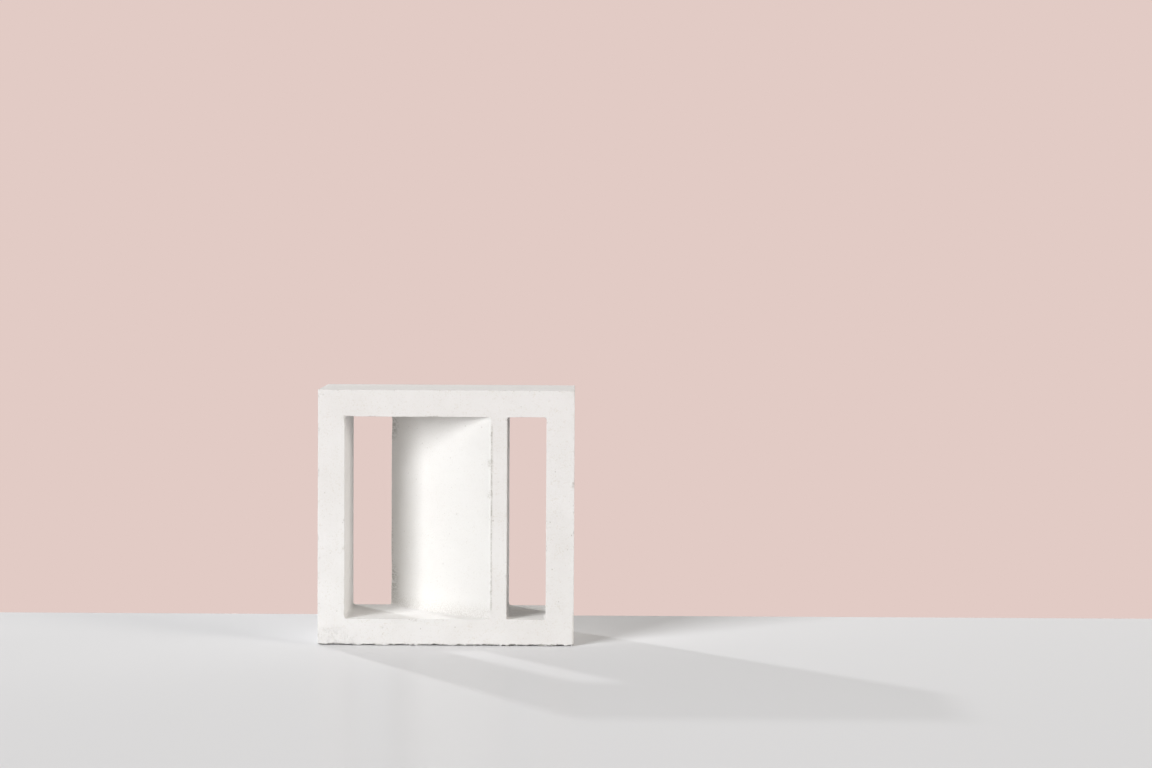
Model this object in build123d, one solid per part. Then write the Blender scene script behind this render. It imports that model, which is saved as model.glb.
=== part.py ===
from build123d import *
import os

# Screen block: one casting of white concrete for an open wall.
# Millimetres. X runs along the wall, Y from the front face to the back, Z up.
# The origin is the middle of the base.

# Outside
laying_module = 200.0     # pitch at which the blocks are laid, along and up the wall
mortar_joint = 10.0       # taken off the pitch to give the face size
block_depth = 90.0        # front face to back face

# Frame around the openings
left_wall = 20.0          # beside the pocket
right_wall = 21.0         # beside the straight slot
head_wall = 20.0          # rail above the openings
sill_wall = 20.0          # rail below the openings

# Pillar between the two openings
land_width = 12.0         # flat strip of the pillar in the front face
slot_width = 29.0         # straight slot at its right, the same from front to back
throat_width = 29.0       # what the pocket at its left narrows to in the back face
sweep_rise = 8.2          # how far the swept face swells out from a flat one

# Edges
arris_radius = 1.0        # outer arrises of the block
rim_radius = 0.8          # arrises around the openings
corner_radius = 2.0       # hollow corners where the walls meet the head and the sill
core_overrun = 5.0        # how far a mould core stands out past each face

block_width = laying_module - mortar_joint
block_height = laying_module - mortar_joint
opening_height = block_height - head_wall - sill_wall
front_y = -block_depth / 2
back_y = block_depth / 2
left_x = -block_width / 2 + left_wall
right_x = block_width / 2 - right_wall
slot_x = right_x - slot_width
land_x = slot_x - land_width
throat_x = left_x + throat_width


def blank():
    """The block before its openings are cored, with its outer arrises rounded."""
    standing = (Align.CENTER, Align.CENTER, Align.MIN)
    solid = Box(block_width, block_depth, block_height, align=standing)
    return fillet(solid.edges(), arris_radius)


def strip(low_x, high_x):
    """Plan of a straight core between two walls, run out past both faces of the block."""
    length = block_depth + 2 * core_overrun
    middle = Location(((low_x + high_x) / 2, 0))
    return middle * Rectangle(high_x - low_x, length)


def core(plan):
    """A core drawn up from sill to head, with the long edges where its sides end rounded."""
    solid = extrude(Plane.XY.offset(sill_wall) * plan, opening_height)
    ends = solid.faces().filter_by(Axis.Y)
    return fillet(solid.edges() - ends.edges(), corner_radius)


def sweep_disc():
    """Disc whose edge is the pillar's swept face, from the land at the front to the throat."""
    land_edge = Vector(land_x, front_y)
    throat_edge = Vector(throat_x, back_y)
    chord = land_edge - throat_edge
    radius = (chord.length ** 2 / 4 + sweep_rise ** 2) / (2 * sweep_rise)
    inward = Vector(-chord.Y, chord.X).normalized()
    centre = (land_edge + throat_edge) / 2 + inward * (radius - sweep_rise)
    return Location(centre) * Circle(radius), centre


def slot_core():
    """The straight slot: one width all the way through."""
    return core(strip(slot_x, right_x))


def pocket_core():
    """The pocket: wide at the front, and closed in by the swept face to the throat at the back."""
    disc, centre = sweep_disc()
    return core(strip(left_x, centre.X) - disc)


def rim_edges(solid):
    """Edges of the openings in the front and back faces."""
    outer_faces = [solid.faces().sort_by(Axis.Y)[0], solid.faces().sort_by(Axis.Y)[-1]]
    return [edge for face in outer_faces for wire in face.inner_wires() for edge in wire.edges()]


def screen_block():
    """The cast block: the blank less its two cores, with worn rims."""
    cored = blank() - slot_core() - pocket_core()
    return fillet(rim_edges(cored), rim_radius)


os.makedirs("parts", exist_ok=True)
block = screen_block()
block.label = "screen_block"
export_step(block, "parts/screen_block.step")
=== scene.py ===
import math
import bpy
import numpy as np
from mathutils import Matrix, Vector


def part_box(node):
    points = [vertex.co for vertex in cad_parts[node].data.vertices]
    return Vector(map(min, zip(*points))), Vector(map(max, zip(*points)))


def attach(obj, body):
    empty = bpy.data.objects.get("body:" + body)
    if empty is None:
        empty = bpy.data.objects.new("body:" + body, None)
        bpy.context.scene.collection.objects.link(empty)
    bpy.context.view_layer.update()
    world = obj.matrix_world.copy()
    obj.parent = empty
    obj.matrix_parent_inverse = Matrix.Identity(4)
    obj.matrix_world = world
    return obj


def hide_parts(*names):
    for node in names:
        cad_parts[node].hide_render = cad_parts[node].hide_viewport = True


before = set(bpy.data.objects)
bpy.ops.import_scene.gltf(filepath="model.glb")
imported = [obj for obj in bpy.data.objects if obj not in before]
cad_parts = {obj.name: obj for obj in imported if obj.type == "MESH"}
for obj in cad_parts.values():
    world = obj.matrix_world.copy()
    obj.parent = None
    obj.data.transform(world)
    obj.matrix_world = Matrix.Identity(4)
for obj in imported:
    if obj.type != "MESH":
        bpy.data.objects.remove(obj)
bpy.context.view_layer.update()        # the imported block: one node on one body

mm = 0.001
nodeName = "screen_block"
low, high = (np.array([float(v) for v in corner]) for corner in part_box(nodeName))
size = high - low
middle = (low + high) / 2

# The casting's sizes, measured in from the outside that the frame gives
cast = {
    "leftWall": 20 * mm, "rightWall": 21 * mm, "head": 20 * mm, "sill": 20 * mm,
    "land": 12 * mm, "slot": 29 * mm, "throat": 29 * mm, "sweepRise": 8.2 * mm,
    "hollowRadius": 2.0 * mm,        # inner corners at head and sill
    "arrisRadius": 0.6 * mm,         # outer arrises where little has worn off
    "rimRadius": 0.35 * mm,          # arrises round the openings
}
xLeft = low[0] + cast["leftWall"]
xThroat = xLeft + cast["throat"]
xRight = high[0] - cast["rightWall"]
xSlot = xRight - cast["slot"]
xLand = xSlot - cast["land"]
zSill = low[2] + cast["sill"]
zHead = high[2] - cast["head"]

# The swept face lies on a cylinder: the circle through both of its edges with the given rise
chord = np.array([xLand - xThroat, low[1] - high[1]])
chordLength = math.hypot(*chord)
sweepRadius = (chordLength ** 2 / 4 + cast["sweepRise"] ** 2) / (2 * cast["sweepRise"])
chordNormal = np.array([-chord[1], chord[0]]) / chordLength
chordMiddle = np.array([(xThroat + xLand) / 2, middle[1]])
sweepCentre = chordMiddle + chordNormal * (sweepRadius - cast["sweepRise"])


def sweptX(y):
    # x of the swept face at depth y, on the near side of its circle
    return sweepCentre[0] - np.sqrt(sweepRadius ** 2 - (y - sweepCentre[1]) ** 2)


latticeShift = 1000.0                # keeps the numbers of a lattice's cells above zero
onFace = 0.01 * mm                   # a point this near a face of the sharp block lies in it


def hashed(ix, iy, iz, seed):
    # A fixed random number from 0 to 1 for each cell: its three numbers and the seed, each times a large
    # factor, mixed bit by bit
    mixed = (ix * 73856093) ^ (iy * 19349663) ^ (iz * 83492791) ^ (seed * 2654435761)
    mixed = ((mixed ^ (mixed >> 13)) & 0xFFFFFFFF) * 1274126177
    mixed = mixed ^ (mixed >> 16)
    return (mixed & 0xFFFFFF) / float(0x1000000)


def noise(points, pitch, seed):
    # Value noise from -1 to 1: random values on a lattice of that pitch, with a smooth blend between
    scaled = points / pitch + latticeShift
    cell = np.floor(scaled).astype(np.int64)
    part = scaled - cell
    part = part ** 3 * (part * (part * 6 - 15) + 10)
    total = np.zeros(len(points))
    for corner in np.ndindex(2, 2, 2):
        weight = np.abs(1 - np.array(corner) - part).prod(axis=1)
        total += weight * hashed(*(cell + corner).T, seed)
    return total * 2 - 1


def ramp(value, start, end):
    # 0 below start, 1 above end, and an S curve between
    t = np.clip((value - start) / (end - start), 0, 1)
    return t * t * (3 - 2 * t)


# Two families of hollow balls, one ball or none for each cell of a lattice: bubbles of air that burst at
# the faces, and the grains that crumble out of the arrises. The share is that of the cells with a ball,
# and a face sinks by the sunk part of a ball's depth
bubbles = {"pitch": 12 * mm, "share": 0.30, "radius": (0.5 * mm, 1.7 * mm), "sunk": 0.6, "seed": 41}
crumbs = {"pitch": 2.6 * mm, "share": 0.60, "radius": (0.5 * mm, 1.5 * mm), "sunk": 0.25, "seed": 61}


def ballDepth(points, family):
    # How deep a point lies in the deepest ball round it: the ball's radius less the distance from its
    # centre, tried for the balls of its own cell and of all cells beside it
    scaled = points / family["pitch"] + latticeShift
    home = np.floor(scaled).astype(np.int64)
    small, large = family["radius"]
    deepest = np.full(len(points), -family["pitch"])
    for offset in np.ndindex(3, 3, 3):
        cell = home + np.array(offset) - 1
        spot = np.stack([hashed(*cell.T, family["seed"] + k) for k in range(3)], axis=1) + cell
        radius = small + (large - small) * hashed(*cell.T, family["seed"] + 3) ** 2
        away = np.linalg.norm(scaled - spot, axis=1) * family["pitch"]
        there = hashed(*cell.T, family["seed"] + 4) < family["share"]
        deepest = np.maximum(deepest, np.where(there, radius - away, -family["pitch"]))
    return deepest


def meet(a, b, radius):
    # Field of what lies in both a and b, with the edge between them rounded to the radius
    over = np.hypot(np.maximum(a + radius, 0), np.maximum(b + radius, 0))
    return np.minimum(np.maximum(a, b), -radius) + over


def sharpFields(points):
    # Distances past each pair of faces: across, through and up the block, then those of the two cores
    x, y, z = points.T
    across = np.abs(x - middle[0]) - size[0] / 2
    through = np.abs(y - middle[1]) - size[1] / 2
    upright = np.abs(z - middle[2]) - size[2] / 2
    level = np.maximum(zSill - z, z - zHead)
    swept = sweepRadius - np.hypot(x - sweepCentre[0], y - sweepCentre[1])
    pocketPlan = np.maximum(xLeft - x, swept)
    slotPlan = np.maximum(xSlot - x, x - xRight)
    return across, through, upright, level, pocketPlan, slotPlan


def arrisDistance(points):
    # How far a point on the sharp block's surface is from the nearest arris
    across, through, upright, level, pocketPlan, slotPlan = sharpFields(points)
    faces = [across, through, upright, -np.maximum(level, pocketPlan), -np.maximum(level, slotPlan)]
    return -np.sort(np.stack(faces), axis=0)[-2]


def hollowDistance(points):
    # How far a point on an opening's wall is from the hollow corner where the wall meets head or sill
    level, pocketPlan, slotPlan = sharpFields(points)[3:]
    return np.abs(level) + np.minimum(np.abs(pocketPlan), np.abs(slotPlan))


def castField(points, wear):
    # Distance out of the worn casting: the rounded block less its two rounded cores
    across, through, upright, level, pocketPlan, slotPlan = sharpFields(points)
    outer = cast["arrisRadius"] * wear
    rim = cast["rimRadius"] * wear
    solid = meet(meet(across, upright, outer), through, outer)
    solid = meet(solid, -meet(level, pocketPlan, cast["hollowRadius"]), rim)
    return meet(solid, -meet(level, slotPlan, cast["hollowRadius"]), rim)


def fieldSlope(points, wear):
    # Direction in which the field grows, from small steps either way along each axis
    step = 0.02 * mm
    sides = [castField(points + axis, wear) - castField(points - axis, wear) for axis in np.eye(3) * step]
    slope = np.stack(sides, axis=1)
    return slope / np.maximum(np.linalg.norm(slope, axis=1, keepdims=True), 1e-12)


# How the worn surface departs from a true one. A noise is given by its pitch and seed, and wear is a
# factor on the radius of an arris
relief = {
    "fine": (1.6 * mm, 3), "fineWear": 0.5,
    "loose": (6 * mm, 17), "looseWear": 0.35,
    "chip": (8 * mm, 5), "chipBand": (0.50, 0.85), "chipWear": 1.8,
    "chipReach": (0.5 * mm, 2.5 * mm),               # from an arris: a bite looks broken, then clean
    "scar": (6 * mm, 19), "scarUneven": 0.5,
    "leastWear": 0.3, "mostWear": 5.0,
    "crumbWear": 1.3,                                # for each mm of a crumb's depth
    "crumbReach": (0.6 * mm, 1.8 * mm),              # from an arris: crumbs are whole, then gone
    "wave": (42 * mm, 7), "waveHeight": 0.14 * mm,
    "ripple": (9 * mm, 11), "rippleHeight": 0.06 * mm,
    "grain": (2.0 * mm, 13), "grainHeight": 0.035 * mm,
    "gap": (2.4 * mm, 43), "gapBand": (-0.9, 0.1),   # uneven gap under the front of the base
    "gapHeight": 0.85 * mm, "gapReach": (2 * mm, 12 * mm), "gapFade": 2.8 * mm, "gapArris": 0.3 * mm,
    "sweptFootShade": 0.55, "sweptFootShadeReach": (1 * mm, 20 * mm),    # painted shade at the foot of the swept face, where it meets the sill
    "turns": 6,                                      # steps in which a point is drawn onto the casting
}

# Worn places on this block in mm: the middle, how far each reaches along X, Y and Z, and the added wear
scars = [
    ((95, -45, 12), (7, 7, 20), 2.4),        # lower part of the right front arris
    ((95, -45, 190), (6, 6, 6), 3.2),        # top right front corner
    ((-86, -45, 0), (16, 6, 5), 0.8),        # bottom left front arris
    ((-82, -45, 0), (4, 5, 5), 2.4),
    ((-46, 45, 158), (6, 6, 9), 2.0),        # deep arris of the swept face, high up
    ((-46, 45, 46), (6, 6, 15), 2.0),        # and low down
]
# Nicks in the foot of the front: the place and the reach along X, and the added wear
nicks = [(-76.5, 2.5, 1.6), (-69, 3.5, 1.7), (-61.5, 3, 1.4), (-55, 3.5, 1.6), (-33, 5, 1.2),
         (-8, 3, 1.3), (26, 7, 1.3), (50, 6, 2.0), (70, 3, 1.2), (84, 6, 1.6)]
scars += [((x, -45, 0), (reach, 5, 4), added) for x, reach, added in nicks]
patch = ((-83, -45, 3), (28, 6, 17))         # rough place on the front, beside the bottom left corner

# Dirty places in mm, with one strip of painted shade: the middle, the reach and the share of grime colour
# each lays there
smearsAndShade = [
    ((-46, 41, 159), (9, 26, 18), 0.60),     # deep edge of the swept face, high up
    ((-46, 41, 39), (9, 26, 21), 0.60),      # and low down
    ((-46, 45, 64), (3, 8, 46), 0.50),
    ((0, -45, 0), (400, 4, 1.7), 1.0),       # painted shade: a dark line along the foot of the front, where its contact shadow falls
]

# Lip of cement that the mould left on the front arris of the swept face
lip = {
    "height": 1.1 * mm, "width": 1.5 * mm, "depth": 0.6 * mm,
    "full": 0.15,                                    # part of its width that has the whole height
    "bottom": 24 * mm, "top": 167 * mm, "fade": 4 * mm,
    "coarse": (9 * mm, 23), "coarseUneven": 0.25,
    "fine": (1.6 * mm, 29), "fineUneven": 0.2,
    "shelter": 0.7,                                  # part of the arris wear that it takes away
    "dirtAndShade": 0.9, "dirtAndShadeWidth": 0.3,                   # painted shade along its foot, where its shadow falls, as part of its width
}


def around(points, place, reach):
    # 1 out to a quarter of the reach from a place, falling to 0 at the reach
    away = np.linalg.norm((points - np.array(place) * mm) / (np.array(reach) * mm), axis=1)
    return 1 - ramp(away, 0.25, 1.0)


def arrisWear(points, crumb):
    # Radius factor: uneven along the arris, with bites where a coarser noise runs high, crumbs and scars
    bites = ramp(noise(points, *relief["chip"]), *relief["chipBand"])
    wear = 1 + noise(points, *relief["fine"]) * relief["fineWear"] + relief["chipWear"] * bites
    wear += noise(points, *relief["loose"]) * relief["looseWear"]
    uneven = 1 + relief["scarUneven"] * noise(points, *relief["scar"])
    for place, reach, added in scars:
        wear += added * around(points, place, reach) * uneven
    wear += relief["crumbWear"] * crumb / mm
    return np.clip(wear, relief["leastWear"], relief["mostWear"]), bites


def lipRise(points):
    # How far the lip stands out of the front: full at the arris, none past its width, faded out at both
    # ends and ragged along it
    x, y, z = points.T
    across = 1 - ramp(np.abs(x - xLand), lip["full"] * lip["width"], lip["width"])
    lowEnd = ramp(z, lip["bottom"], lip["bottom"] + lip["fade"])
    highEnd = ramp(-z, -lip["top"], lip["fade"] - lip["top"])
    ragged = 1 - lip["coarseUneven"] + lip["coarseUneven"] * noise(points, *lip["coarse"])
    ragged += lip["fineUneven"] * noise(points, *lip["fine"])
    return np.where(y < low[1] + lip["depth"], lip["height"] * across * (lowEnd * highEnd) * ragged, 0)


def grimeAndShadeShare(points):
    # How much grime and painted shade a point holds: the most that a smear or the painted shade along the
    # foot of the front leaves there, but none on the back, or the painted shade at the foot of the lip
    share = np.zeros(len(points))
    for place, reach, most in smearsAndShade:
        share = np.maximum(share, most * around(points, place, reach))
    share *= points[:, 1] < high[1] - onFace
    foot = ramp(points[:, 0] - xLand, 0, lip["dirtAndShadeWidth"] * lip["width"])
    foot = foot * lipRise(points) / lip["height"]
    return np.clip(np.maximum(share, lip["dirtAndShade"] * foot), 0, 1)


def footGap(points):
    # How far the foot of the front is lifted: most at its arris, none past the reach inwards or the fade
    # upwards, and uneven in plan
    inwards = 1 - ramp(points[:, 1] - low[1], *relief["gapReach"])
    upwards = 1 - ramp(points[:, 2] - low[2], 0, relief["gapFade"])
    uneven = ramp(noise(points * np.array([1, 1, 0]), *relief["gap"]), *relief["gapBand"])
    return relief["gapHeight"] * inwards * upwards * uneven


def sweptShare(points):
    # 1 on the swept face, 0 off it
    level, pocketPlan = sharpFields(points)[3:5]
    return (np.abs(pocketPlan) < onFace) & (points[:, 0] > xLeft + onFace) & (level < onFace)


def settle(sharp):
    # Draws each point of the sharp block down the slope of the field onto the worn casting, sinks it by
    # relief, bubbles and crumbs, and moves it out by the lip and up by the gap. The marks tell the
    # material where the casting is broken, pitted, dirty, rough or fair, and where shade is painted on it
    edge = arrisDistance(sharp)
    crumb = ramp(ballDepth(sharp, crumbs), 0, crumbs["radius"][1]) * crumbs["radius"][1]
    wear, bites = arrisWear(sharp, crumb)
    rise = lipRise(sharp)
    wear = wear * (1 - lip["shelter"] * np.minimum(rise / lip["height"], 1))
    points = sharp
    for turn in range(relief["turns"]):
        slope = fieldSlope(points, wear)
        points = points - slope * castField(points, wear)[:, None]
    sink = relief["waveHeight"] * (1 + noise(sharp, *relief["wave"])) / 2
    sink += relief["rippleHeight"] * (1 + noise(sharp, *relief["ripple"])) / 2
    sink += relief["grainHeight"] * noise(sharp, *relief["grain"])
    bubble = np.maximum(ballDepth(sharp, bubbles), 0) * bubbles["sunk"]
    rough = around(sharp, *patch)
    crumb *= 1 - ramp(edge, *relief["crumbReach"]) + rough
    points = points - slope * (sink + bubble + crumb * crumbs["sunk"])[:, None]
    gap = footGap(sharp)
    points += np.stack([np.zeros(len(gap)), -rise, gap], axis=1)
    brokenAndShade = bites * (1 - ramp(edge, *relief["chipReach"])) + crumb / mm
    # Painted shade: the arris over the foot gap is marked as broken, so it darkens where the gap's shadow
    # falls
    brokenAndShade += gap / relief["gapHeight"] * (edge < relief["gapArris"])
    swept = sweptShare(sharp)
    # Painted shade at the foot of the swept face, where it meets the sill, carried by the broken mark
    brokenAndShade += relief["sweptFootShade"] * swept * (1 - ramp(sharp[:, 2] - zSill, *relief["sweptFootShadeReach"]))
    marks = {"brokenAndShade": np.clip(brokenAndShade, 0, 1), "bubble": bubble / mm, "grimeAndShade": grimeAndShadeShare(sharp),
             "rough": rough, "fair": swept}
    return points, marks


# Mesh: a lattice whose lines crowd towards the arrises, and cells four, two or one gap wide
weave = {
    "step": 0.70 * mm,                               # even gap between lines
    "graded": [0, 0.22, 0.50, 0.90, 1.45],           # mm in from an arris
    "coarsest": 4,                                   # gaps in a side of the widest cell
    "arrisReach": {4: 4.1 * mm, 2: 1.5 * mm},        # a cell this wide and this near is cut in four
    "hollowReach": {4: 3.6 * mm, 2: 0.0},
    "bubbleReach": {4: 4.1 * mm, 2: 0.6 * mm},
}


def gradedLine(start, end):
    # Stops from start to end: graded in from each end, even between, in whole coarsest cells
    graded = np.array(weave["graded"]) * mm
    cellCount = max(1, round((end - start - 2 * graded[-1]) / weave["step"] / weave["coarsest"]))
    even = np.linspace(start + graded[-1], end - graded[-1], cellCount * weave["coarsest"] + 1)
    return np.concatenate([start + graded[:-1], even, (end - graded[:-1])[::-1]])


def joinLines(*lines):
    # One run of stops from several that share their ends, with the index of each shared end
    ends = np.cumsum([0] + [len(line) - 1 for line in lines])
    return np.concatenate([lines[0]] + [line[1:] for line in lines[1:]]), [int(v) for v in ends]


# The lattice, with the numbers of the lines at its faces. Along X, A and B bound the throat, B and C the
# swept face, C and D the land, D and E the slot. Along Z, A and B are sill and head
yStops, (yFront, yBack) = joinLines(gradedLine(low[1], high[1]))
xStops, (x0, xA, xB, xC, xD, xE, xF) = joinLines(
    gradedLine(low[0], xLeft), gradedLine(xLeft, xThroat), sweptX(yStops)[::-1],
    gradedLine(xLand, xSlot), gradedLine(xSlot, xRight), gradedLine(xRight, high[0]))
zStops, (z0, zA, zB, zF) = joinLines(
    gradedLine(low[2], zSill), gradedLine(zSill, zHead), gradedLine(zHead, high[2]))


def latticeKey(ix, iy, iz):
    # One whole number for a crossing of three lattice lines
    return (np.asarray(ix, np.int64) * len(yStops) + iy) * len(zStops) + iz


def latticePoint(keys):
    # The place of a crossing
    column, iz = np.divmod(keys, len(zStops))
    ix, iy = np.divmod(column, len(yStops))
    return np.stack([xStops[ix], yStops[iy], zStops[iz]], axis=1)


def cells(uEnds, vEnds, holes=()):
    # Low corners of the coarsest cells between the ends and outside the holes
    stride = weave["coarsest"]
    u, v = (grid.ravel() for grid in np.meshgrid(np.arange(*uEnds, stride), np.arange(*vEnds, stride)))
    kept = np.ones(len(u), bool)
    for uLow, uHigh, vLow, vHigh in holes:
        kept &= (u < uLow) | (u >= uHigh) | (v < vLow) | (v >= vHigh)
    return u[kept], v[kept]


def atX(ix):
    # Crossings of a lattice plane across X, from their numbers along Y and Z
    return lambda u, v: latticeKey(ix, u, v)


def atY(iy):
    # Crossings of a lattice plane across Y, from their numbers along X and Z
    return lambda u, v: latticeKey(u, iy, v)


def atZ(iz):
    # Crossings of a lattice plane across Z, from their numbers along X and Y
    return lambda u, v: latticeKey(u, v, iz)


def onSweep(u, v):
    # The lattice lines meet the swept face on its diagonal: a line across for each line of depth
    return latticeKey(xB + yBack - u, u, v)


def panels():
    # Each face of the sharp block: its cells, where their corners lie, whether they are turned over, and
    # the sum of indices at which the swept face cuts it off
    wholeX, wholeY, wholeZ, opening = (x0, xF), (yFront, yBack), (z0, zF), (zA, zB)
    mouth, throat, slot = (xA, xC, zA, zB), (xA, xB, zA, zB), (xD, xE, zA, zB)
    never = len(xStops) + len(yStops) + len(zStops)
    yield cells(wholeX, wholeZ, [mouth, slot]), atY(yFront), False, never
    yield cells(wholeX, wholeZ, [throat, slot]), atY(yBack), True, never
    yield cells(wholeY, wholeZ), atX(x0), True, never
    yield cells(wholeY, wholeZ), atX(xF), False, never
    yield cells(wholeX, wholeY), atZ(z0), True, never
    yield cells(wholeX, wholeY), atZ(zF), False, never
    yield cells(wholeY, opening), atX(xA), False, never
    yield cells(wholeY, opening), onSweep, True, never
    yield cells(wholeY, opening), atX(xD), False, never
    yield cells(wholeY, opening), atX(xE), True, never
    for iz, turned in ((zA, False), (zB, True)):
        yield cells((xD, xE), wholeY), atZ(iz), turned, never
        yield cells((xA, xC), wholeY), atZ(iz), turned, xB + yBack


def tooWide(u, v, width, key):
    # Which cells are cut in four: those near an arris, a hollow corner or a bubble
    centre = latticePoint(key(u + width // 2, v + width // 2))
    near = arrisDistance(centre) < weave["arrisReach"][width]
    near |= hollowDistance(centre) < weave["hollowReach"][width]
    return near | (ballDepth(centre, bubbles) > -weave["bubbleReach"][width])


def cutCells():
    # Cuts the cells of each panel down to the width that their place needs, each a ring of crossings. A
    # wide ring has its corners at even places, the middles of its sides at odd ones and its own middle
    # last. The swept face cuts the last cells to triangles
    rings = {4: [], 2: [], 1: []}
    triangles = []
    square = [(0, 0), (1, 0), (1, 1), (0, 1)]
    walk = [(0, 0), (1, 0), (2, 0), (2, 1), (2, 2), (1, 2), (0, 2), (0, 1), (1, 1)]
    backwards = [0, 7, 6, 5, 4, 3, 2, 1, 8]
    for (u, v), key, turned, limit in panels():
        for width in rings:
            inside = u + v < limit
            u, v = u[inside], v[inside]
            crossed = u + v + 2 * width > limit
            if width == 1:
                ring = np.stack([key(u + du, v + dv) for du, dv in square], axis=1)
                ring = ring[:, ::-1] if turned else ring
                corner = 1 if turned else 2          # the one past the swept face
                rings[1].append(ring[~crossed])
                triangles.append(np.delete(ring[crossed], corner, axis=1))
                break
            cut = tooWide(u, v, width, key) | crossed
            half = width // 2
            ring = np.stack([key(u[~cut] + du * half, v[~cut] + dv * half) for du, dv in walk], axis=1)
            rings[width].append(ring[:, backwards] if turned else ring)
            u, v = (np.concatenate([edge[cut] + shift * half for shift in shifts])
                    for edge, shifts in ((u, (0, 1, 0, 1)), (v, (0, 0, 1, 1))))
    return {width: np.concatenate(parts) for width, parts in rings.items()}, triangles


def castingFaces():
    # A cell becomes one quad, or a fan about its middle where a side meets narrower cells
    rings, triangles = cutCells()
    quads = [rings[1]]
    narrower = rings[1].ravel()          # crossings that narrower cells use
    for width in (2, 4):
        ring = rings[width]
        split = np.isin(ring[:, 1:8:2], narrower)
        narrower = np.concatenate([narrower, ring[:, :8:2].ravel()])
        plain = ~split.any(axis=1)
        quads.append(ring[plain][:, [0, 2, 4, 6]])
        ring, split = ring[~plain], split[~plain]
        for side in range(4):
            first, mid, last = 2 * side, 2 * side + 1, (2 * side + 2) % 8
            triangles.append(ring[split[:, side]][:, [first, mid, 8]])
            triangles.append(ring[split[:, side]][:, [mid, last, 8]])
            triangles.append(ring[~split[:, side]][:, [first, last, 8]])
    return np.concatenate(quads), np.concatenate(triangles)


def makeCasting():
    # One closed skin: the lattice crossings that the faces use, drawn onto the casting, with their marks
    quads, triangles = castingFaces()
    keys, places = np.unique(np.concatenate([quads.ravel(), triangles.ravel()]), return_inverse=True)
    quads, triangles = places[:quads.size].reshape(-1, 4), places[quads.size:].reshape(-1, 3)
    settled, marks = settle(latticePoint(keys))
    mesh = bpy.data.meshes.new("whiteCasting")
    mesh.from_pydata(settled, [], quads.tolist() + triangles.tolist())
    mesh.shade_smooth()
    for name, values in marks.items():
        mesh.attributes.new(name, "FLOAT", "POINT").data.foreach_set("value", values.astype(np.float32))
    piece = bpy.data.objects.new("whiteCasting", mesh)
    bpy.context.scene.collection.objects.link(piece)
    print("casting:", len(keys), "vertices,", 2 * len(quads) + len(triangles), "triangles")
    return piece


class Wire:
    # A socket of a material's tree, so that shader maths reads as an expression
    def __init__(self, tree, socket):
        self.tree = tree
        self.socket = socket

    def node(self, kind, settings, values, output=0):
        # Adds a node: its settings first, then a number, colour or wire for each socket
        return addNode(self.tree, kind, settings, values, output)

    def maths(self, operation, *others):
        # The result of a Math node on this socket and the others
        values = dict(enumerate((self,) + others))
        return self.node("ShaderNodeMath", {"operation": operation}, values)

    def __add__(self, other):
        return self.maths("ADD", other)

    def __radd__(self, other):
        return self.maths("ADD", other)

    def __sub__(self, other):
        return self.maths("SUBTRACT", other)

    def __rsub__(self, other):
        return self.node("ShaderNodeMath", {"operation": "SUBTRACT"}, {0: other, 1: self})

    def __mul__(self, other):
        return self.maths("MULTIPLY", other)

    def __rmul__(self, other):
        return self.maths("MULTIPLY", other)

    def between(self, start, end):
        # 0 at start, 1 at end, with an S curve between
        settings = {"interpolation_type": "SMOOTHSTEP"}
        values = {"Value": self, "From Min": start, "From Max": end}
        return self.node("ShaderNodeMapRange", settings, values)


def addNode(tree, kind, settings, values, output=0):
    # A new node: settings first, then each socket's number or colour, or the link from a wire
    node = tree.nodes.new(kind)
    for name, value in settings.items():
        setattr(node, name, value)
    for name, value in values.items():
        if isinstance(value, Wire):
            tree.links.new(value.socket, node.inputs[name])
        else:
            node.inputs[name].default_value = value
    return Wire(tree, node.outputs[output]) if len(node.outputs) else None


def linear(*values):
    # sRGB values from 0 to 255 as the linear colour that a socket takes
    parts = [v / 255 for v in values]
    return [p / 12.92 if p <= 0.04045 else ((p + 0.055) / 1.055) ** 2.4 for p in parts] + [1.0]


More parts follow.
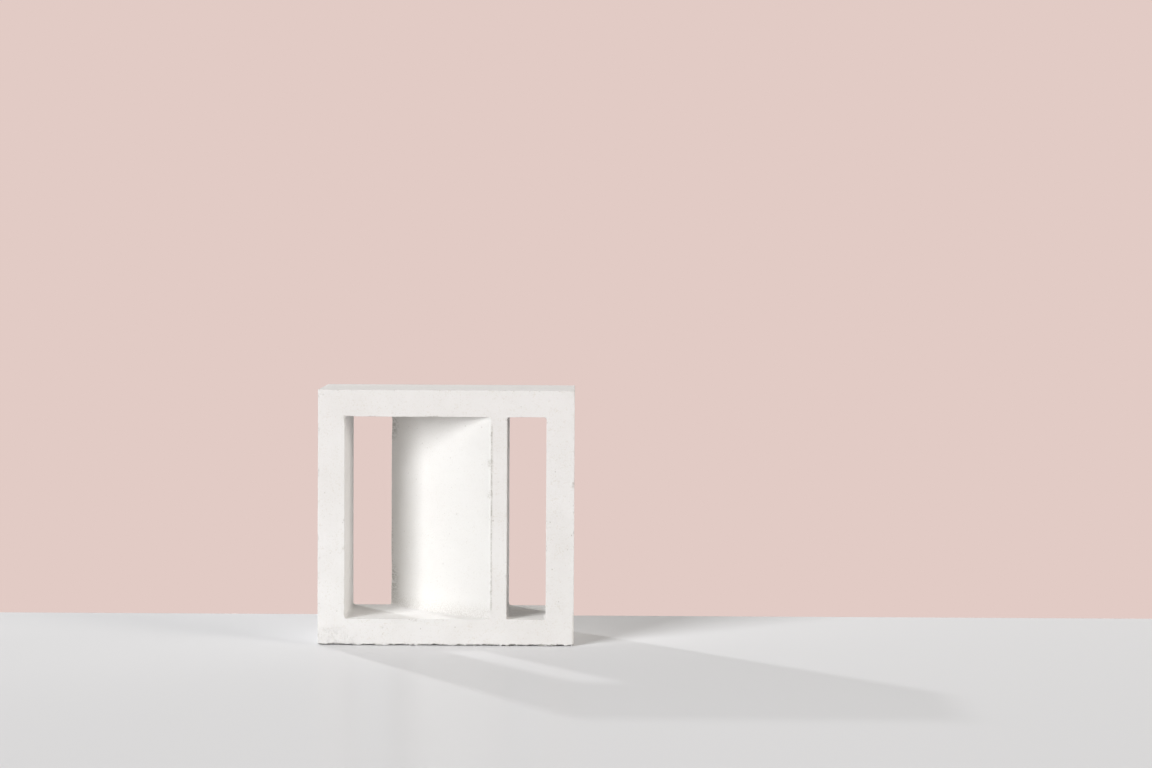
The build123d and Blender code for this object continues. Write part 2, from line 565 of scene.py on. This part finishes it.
# White concrete: white cement and pale sand. A noise is given by its pitch, detail, roughness and shift,
# and a band by the values where its layer begins and is full. A share is how much of its colour a layer
# gives at most, and heights are in mm
concrete = {
    "foot": linear(239, 238, 237),
    "head": linear(235, 233, 232),       # greyer than the foot: painted shade, against a foot painted lighter where the light falls brighter
    "fair": linear(241, 240, 238),       # the swept face, cast against a smoother mould
    "grey": linear(225, 222, 219),       # damp cement bloom
    "sand": linear(214, 207, 195),       # grains that show at the surface
    "dirtAndShade": linear(150, 141, 128),       # painted shade in pinholes, pores, bubble pits and rough streaks, with dirt in them and in broken places; also painted shade at the foot gap and the foot of the swept face
    "grimeAndShade": linear(158, 159, 148),      # grey smears where the mould was last cleaned, also used as painted shade along the foot of the front and of the lip
    "cloud": (46 * mm, 4.0, 0.55, 0.0), "cloudBand": (0.35, 0.75), "cloudShare": 0.35,
    "mottle": (9 * mm, 4.0, 0.6, 0.3), "mottleBand": (0.3, 0.7), "mottleHeight": 0.18,
    "grain": (1.1 * mm, 3.0, 0.6, 0.7), "grainHeight": 0.28,
    "sandBand": (0.52, 0.75), "sandShare": 0.65,
    "fairCalm": 0.5,                     # part of clouds and sand that the swept face lacks
    "pinPitch": 5.0 * mm, "pinRadius": 0.12, "pinShare": 0.40, "pinHeight": 0.35,
    "porePitch": 1.5 * mm, "poreRadius": 0.22, "poreShare": 0.22, "poreHeight": 0.12,
    "speckBand": (0.35, 1.0), "speckCore": 0.5, "leastSpeck": 0.001,
    "streak": (1.1 * mm, 3.0, 0.6, 0.9), "streakStretch": 0.35, "streakBand": (0.50, 0.66),
    "streakShare": 0.03, "streakHeight": 0.3,
    "smearAndShade": (4.5 * mm, 3.0, 0.6, 0.5), "smearStretch": 3.5, "smearBand": (0.38, 0.60),
    "grimeAndShadeShare": 0.75,
    "brokenAndShadeBand": (0.1, 0.8), "brokenAndShadeGrain": (0.35, 0.65), "brokenAndShadeShare": 0.30,
    "bubbleBand": (0.05, 0.8), "bubbleShare": 0.25,
    "roughness": 0.86, "mottleRoughness": 0.1, "cloudRoughness": 0.04,
    "diffuseRoughness": 0.5,             # a floor seen and lit at a low angle stays bright
    "specular": 0.35,
}


def mixed(factor, first, second):
    # Colour: the first where the factor is 0, the second where it is 1, and between them in proportion
    settings = {"data_type": "RGBA"}
    return factor.node("ShaderNodeMix", settings, {"Factor": factor, 6: first, 7: second}, output=2)


def makeConcrete():
    # Layers of colour over a tone that runs from foot to head, painted lighter at the foot: clouds, sand,
    # painted shade and dirt in what is hollow or broken, smears, and painted shade at the foot of the
    # front and of the lip. The same noises and specks raise and sink the surface
    material = bpy.data.materials.new("whiteConcrete")
    material.use_nodes = True
    tree = material.node_tree
    shader = tree.nodes["Principled BSDF"]
    where = addNode(tree, "ShaderNodeTexCoord", {}, {}, "Object")

    def cloud(name, stretch=1.0):
        # A noise by its name, drawn out upright where the stretch is under 1 and level where it is over
        pitch, detail, roughness, shift = concrete[name]
        moved = where.node("ShaderNodeVectorMath", {"operation": "MULTIPLY_ADD"},
                           {0: where, 1: (1, 1, stretch), 2: (shift, shift, shift)})
        values = {"Vector": moved, "Scale": 1 / pitch, "Detail": detail, "Roughness": roughness}
        return where.node("ShaderNodeTexNoise", {}, values, "Fac")

    def attribute(name):
        # A mark of the mesh
        return addNode(tree, "ShaderNodeAttribute", {"attribute_name": name}, {}, "Fac")

    def scattered(pitch, radius):
        # Round specks at scattered points: each reaches as far as the random grey of its cell gives, so
        # most are too small to see, and is full inside its core
        values = {"Vector": where, "Scale": 1 / pitch}
        away = where.node("ShaderNodeTexVoronoi", {}, values, "Distance")
        cellColour = where.node("ShaderNodeTexVoronoi", {}, values, "Color")
        chance = where.node("ShaderNodeRGBToBW", {}, {"Color": cellColour})
        reach = chance.between(*concrete["speckBand"]) * radius + concrete["leastSpeck"]
        return 1 - away.between(reach * concrete["speckCore"], reach)

    clouds = cloud("cloud")
    mottle = cloud("mottle")
    grain = cloud("grain")
    pinhole = scattered(concrete["pinPitch"], concrete["pinRadius"])
    pore = scattered(concrete["porePitch"], concrete["poreRadius"])
    streak = cloud("streak", concrete["streakStretch"]).between(*concrete["streakBand"])
    streak = streak * attribute("rough")
    smearAndShade = cloud("smearAndShade", concrete["smearStretch"]).between(*concrete["smearBand"])
    smearAndShade = smearAndShade * attribute("grimeAndShade")
    brokenAndShade = attribute("brokenAndShade").between(*concrete["brokenAndShadeBand"])
    bubble = attribute("bubble").between(*concrete["bubbleBand"])

    fair = attribute("fair")
    coarse = 1 - concrete["fairCalm"] * fair
    # Painted light and shade: the tone is lighter at the foot and greyer towards the head
    paintedShadeUpward = where.node("ShaderNodeSeparateXYZ", {}, {"Vector": where}, "Z").between(low[2], high[2])
    tone = mixed(paintedShadeUpward, concrete["foot"], concrete["head"])
    tone = mixed(fair, tone, concrete["fair"])
    cloudy = clouds.between(*concrete["cloudBand"]) * coarse * concrete["cloudShare"]
    tone = mixed(cloudy, tone, concrete["grey"])
    sandy = grain.between(*concrete["sandBand"]) * mottle.between(*concrete["mottleBand"])
    tone = mixed(sandy * coarse * concrete["sandShare"], tone, concrete["sand"])
    # Painted shade: dark centres in pinholes, pores, bubble pits and rough streaks stand for the shade in
    # them; the broken mark adds the colour of broken places and painted shade at the foot gap and the
    # foot of the swept face
    shadeAndDirt = pinhole * concrete["pinShare"] + pore * concrete["poreShare"]
    shadeAndDirt = shadeAndDirt + bubble * concrete["bubbleShare"] + streak * concrete["streakShare"]
    shadeAndDirt = shadeAndDirt + brokenAndShade * grain.between(*concrete["brokenAndShadeGrain"]) * concrete["brokenAndShadeShare"]
    tone = mixed(shadeAndDirt, tone, concrete["dirtAndShade"])
    # Grime colour: real smears, and painted shade along the foot of the front and of the lip
    tone = mixed(smearAndShade * concrete["grimeAndShadeShare"], tone, concrete["grimeAndShade"])
    tree.links.new(tone.socket, shader.inputs["Base Color"])
    roughness = concrete["roughness"] + concrete["mottleRoughness"] * mottle
    roughness = roughness - concrete["cloudRoughness"] * clouds
    tree.links.new(roughness.socket, shader.inputs["Roughness"])
    height = grain * concrete["grainHeight"] + mottle * concrete["mottleHeight"]
    height = height - pinhole * concrete["pinHeight"] - pore * concrete["poreHeight"]
    height = height - streak * concrete["streakHeight"]
    bump = height.node("ShaderNodeBump", {}, {"Distance": mm, "Height": height, "Strength": 1.0})
    tree.links.new(bump.socket, shader.inputs["Normal"])
    shader.inputs["Diffuse Roughness"].default_value = concrete["diffuseRoughness"]
    shader.inputs["Specular IOR Level"].default_value = concrete["specular"]
    return material


casting = makeCasting()
casting.data.materials.append(makeConcrete())
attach(casting, "root")
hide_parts(nodeName)
print("casting dressed")

# Table: pale grey, slightly glossy, with its back edge close behind the block
table = {
    "colour": linear(227, 227, 229), "diffuseRoughness": 0.7, "gloss": 0.14, "roughness": 0.22,
    "backEdge": 143 * mm, "frontEdge": -6.0, "halfWidth": 6.0,
}


def makeTable():
    # One level rectangle at the foot of the block, a matt surface with a share of gloss
    left, right = -table["halfWidth"], table["halfWidth"]
    front, back = table["frontEdge"], table["backEdge"]
    corners = [(left, front, low[2]), (right, front, low[2]), (right, back, low[2]), (left, back, low[2])]
    mesh = bpy.data.meshes.new("table")
    mesh.from_pydata(corners, [], [(0, 1, 2, 3)])
    top = bpy.data.objects.new("table", mesh)
    bpy.context.scene.collection.objects.link(top)
    material = bpy.data.materials.new("tableTop")
    material.use_nodes = True
    tree = material.node_tree
    matt = addNode(tree, "ShaderNodeBsdfDiffuse", {},
                   {"Color": table["colour"], "Roughness": table["diffuseRoughness"]})
    gloss = addNode(tree, "ShaderNodeBsdfGlossy", {}, {"Roughness": table["roughness"]})
    both = addNode(tree, "ShaderNodeMixShader", {}, {0: table["gloss"], 1: matt, 2: gloss})
    tree.links.new(both.socket, tree.nodes["Material Output"].inputs["Surface"])
    mesh.materials.append(material)


makeTable()

# Studio: a soft lamp at the front left, a small hard one close behind the block, weaker ones at the
# right, and an even sky. Azimuth is turned from -Y towards -X, level is how brightly a white card that
# faces the lamp would show
studio = {
    "backdrop": linear(226, 203, 197), "mirrored": linear(230, 230, 230),
    "sky": (1.0, 0.90, 0.68, 1.0), "skyLevel": 0.07, "aim": (0.0, 0.0, 0.095),
    "lamps": {
        "key": {"azimuth": 37, "elevation": 17, "distance": 5.0, "size": (2.3, 2.6),
                "level": 0.85, "colour": (0.985, 0.99, 1.0)},
        "frontRight": {"azimuth": -58, "elevation": 12, "distance": 4.0, "size": (1.6, 1.2),
                       "level": 0.34, "colour": (1.0, 0.95, 0.90)},
        "rearLeft": {"azimuth": 146, "elevation": 29, "distance": 1.5, "size": (0.06, 0.06),
                     "level": 0.85, "colour": (1.0, 1.0, 1.0)},
        "rearRight": {"azimuth": -158, "elevation": 8, "distance": 3.0, "size": (1.6, 1.0),
                      "level": 0.18, "colour": (1.0, 0.96, 0.92)},
        "right": {"azimuth": -92, "elevation": 12, "distance": 3.0, "size": (2.0, 1.5),
                  "level": 0.28, "colour": (1.0, 0.97, 0.94)},
    },
}


def bearing(azimuth, elevation):
    # Unit vector from the block towards a lamp
    a, e = math.radians(azimuth), math.radians(elevation)
    return Vector((-math.sin(a) * math.cos(e), -math.cos(a) * math.cos(e), math.sin(e)))


def makeLamp(name, lamp):
    # A flat lamp shows a white card at a level of its power over the square of pi times its distance
    data = bpy.data.lights.new(name, "AREA")
    data.shape = "RECTANGLE"
    data.size, data.size_y = lamp["size"]
    data.color = lamp["colour"]
    data.energy = lamp["level"] * (math.pi * lamp["distance"]) ** 2
    holder = bpy.data.objects.new(name, data)
    towards = bearing(lamp["azimuth"], lamp["elevation"])
    holder.location = Vector(studio["aim"]) + towards * lamp["distance"]
    holder.rotation_euler = towards.to_track_quat("Z", "Y").to_euler()
    holder.visible_camera = False
    holder.visible_glossy = False
    bpy.context.scene.collection.objects.link(holder)


def makeSky():
    # Camera and clear rays see the backdrop's colour, mirrored ones a plain grey, the rest an even sky
    world = bpy.data.worlds.new("studio")
    bpy.context.scene.world = world
    world.use_nodes = True
    tree = world.node_tree
    tree.nodes.clear()
    camera, glossy, clear = (addNode(tree, "ShaderNodeLightPath", {}, {}, name) for name in
                             ("Is Camera Ray", "Is Glossy Ray", "Is Transmission Ray"))
    seen = camera.maths("MAXIMUM", glossy).maths("MAXIMUM", clear)
    evenSky = {"Color": studio["sky"], "Strength": studio["skyLevel"]}
    sky = addNode(tree, "ShaderNodeBackground", {}, evenSky)
    colour = mixed(glossy, studio["backdrop"], studio["mirrored"])
    backdrop = addNode(tree, "ShaderNodeBackground", {}, {"Color": colour, "Strength": 1.0})
    both = addNode(tree, "ShaderNodeMixShader", {}, {0: seen, 1: sky, 2: backdrop})
    addNode(tree, "ShaderNodeOutputWorld", {}, {"Surface": both})


for lampName, lampSizes in studio["lamps"].items():
    makeLamp(lampName, lampSizes)
makeSky()

# Camera: a long lens a little above the block and to its right
viewpoint = {
    "place": (95.7 * mm, -2221.4 * mm, 292.0 * mm), "dip": 2.553, "roll": 0.32,
    "lens": 92.19, "sensor": 36.0, "near": 0.05, "far": 50.0,
}


def makeCamera():
    # Looks along +Y, turned down by the dip, then about its own line of sight by the roll
    data = bpy.data.cameras.new("camera")
    data.sensor_fit = "HORIZONTAL"
    data.lens, data.sensor_width = viewpoint["lens"], viewpoint["sensor"]
    data.clip_start, data.clip_end = viewpoint["near"], viewpoint["far"]
    holder = bpy.data.objects.new("camera", data)
    holder.location = viewpoint["place"]
    tilt = Matrix.Rotation(math.radians(90 - viewpoint["dip"]), 3, "X")
    roll = Matrix.Rotation(math.radians(viewpoint["roll"]), 3, "Z")
    holder.rotation_euler = (tilt @ roll).to_euler()
    bpy.context.scene.collection.objects.link(holder)
    bpy.context.scene.camera = holder


makeCamera()
bpy.context.scene.view_settings.view_transform = "Standard"
print("table, lamps and camera placed")
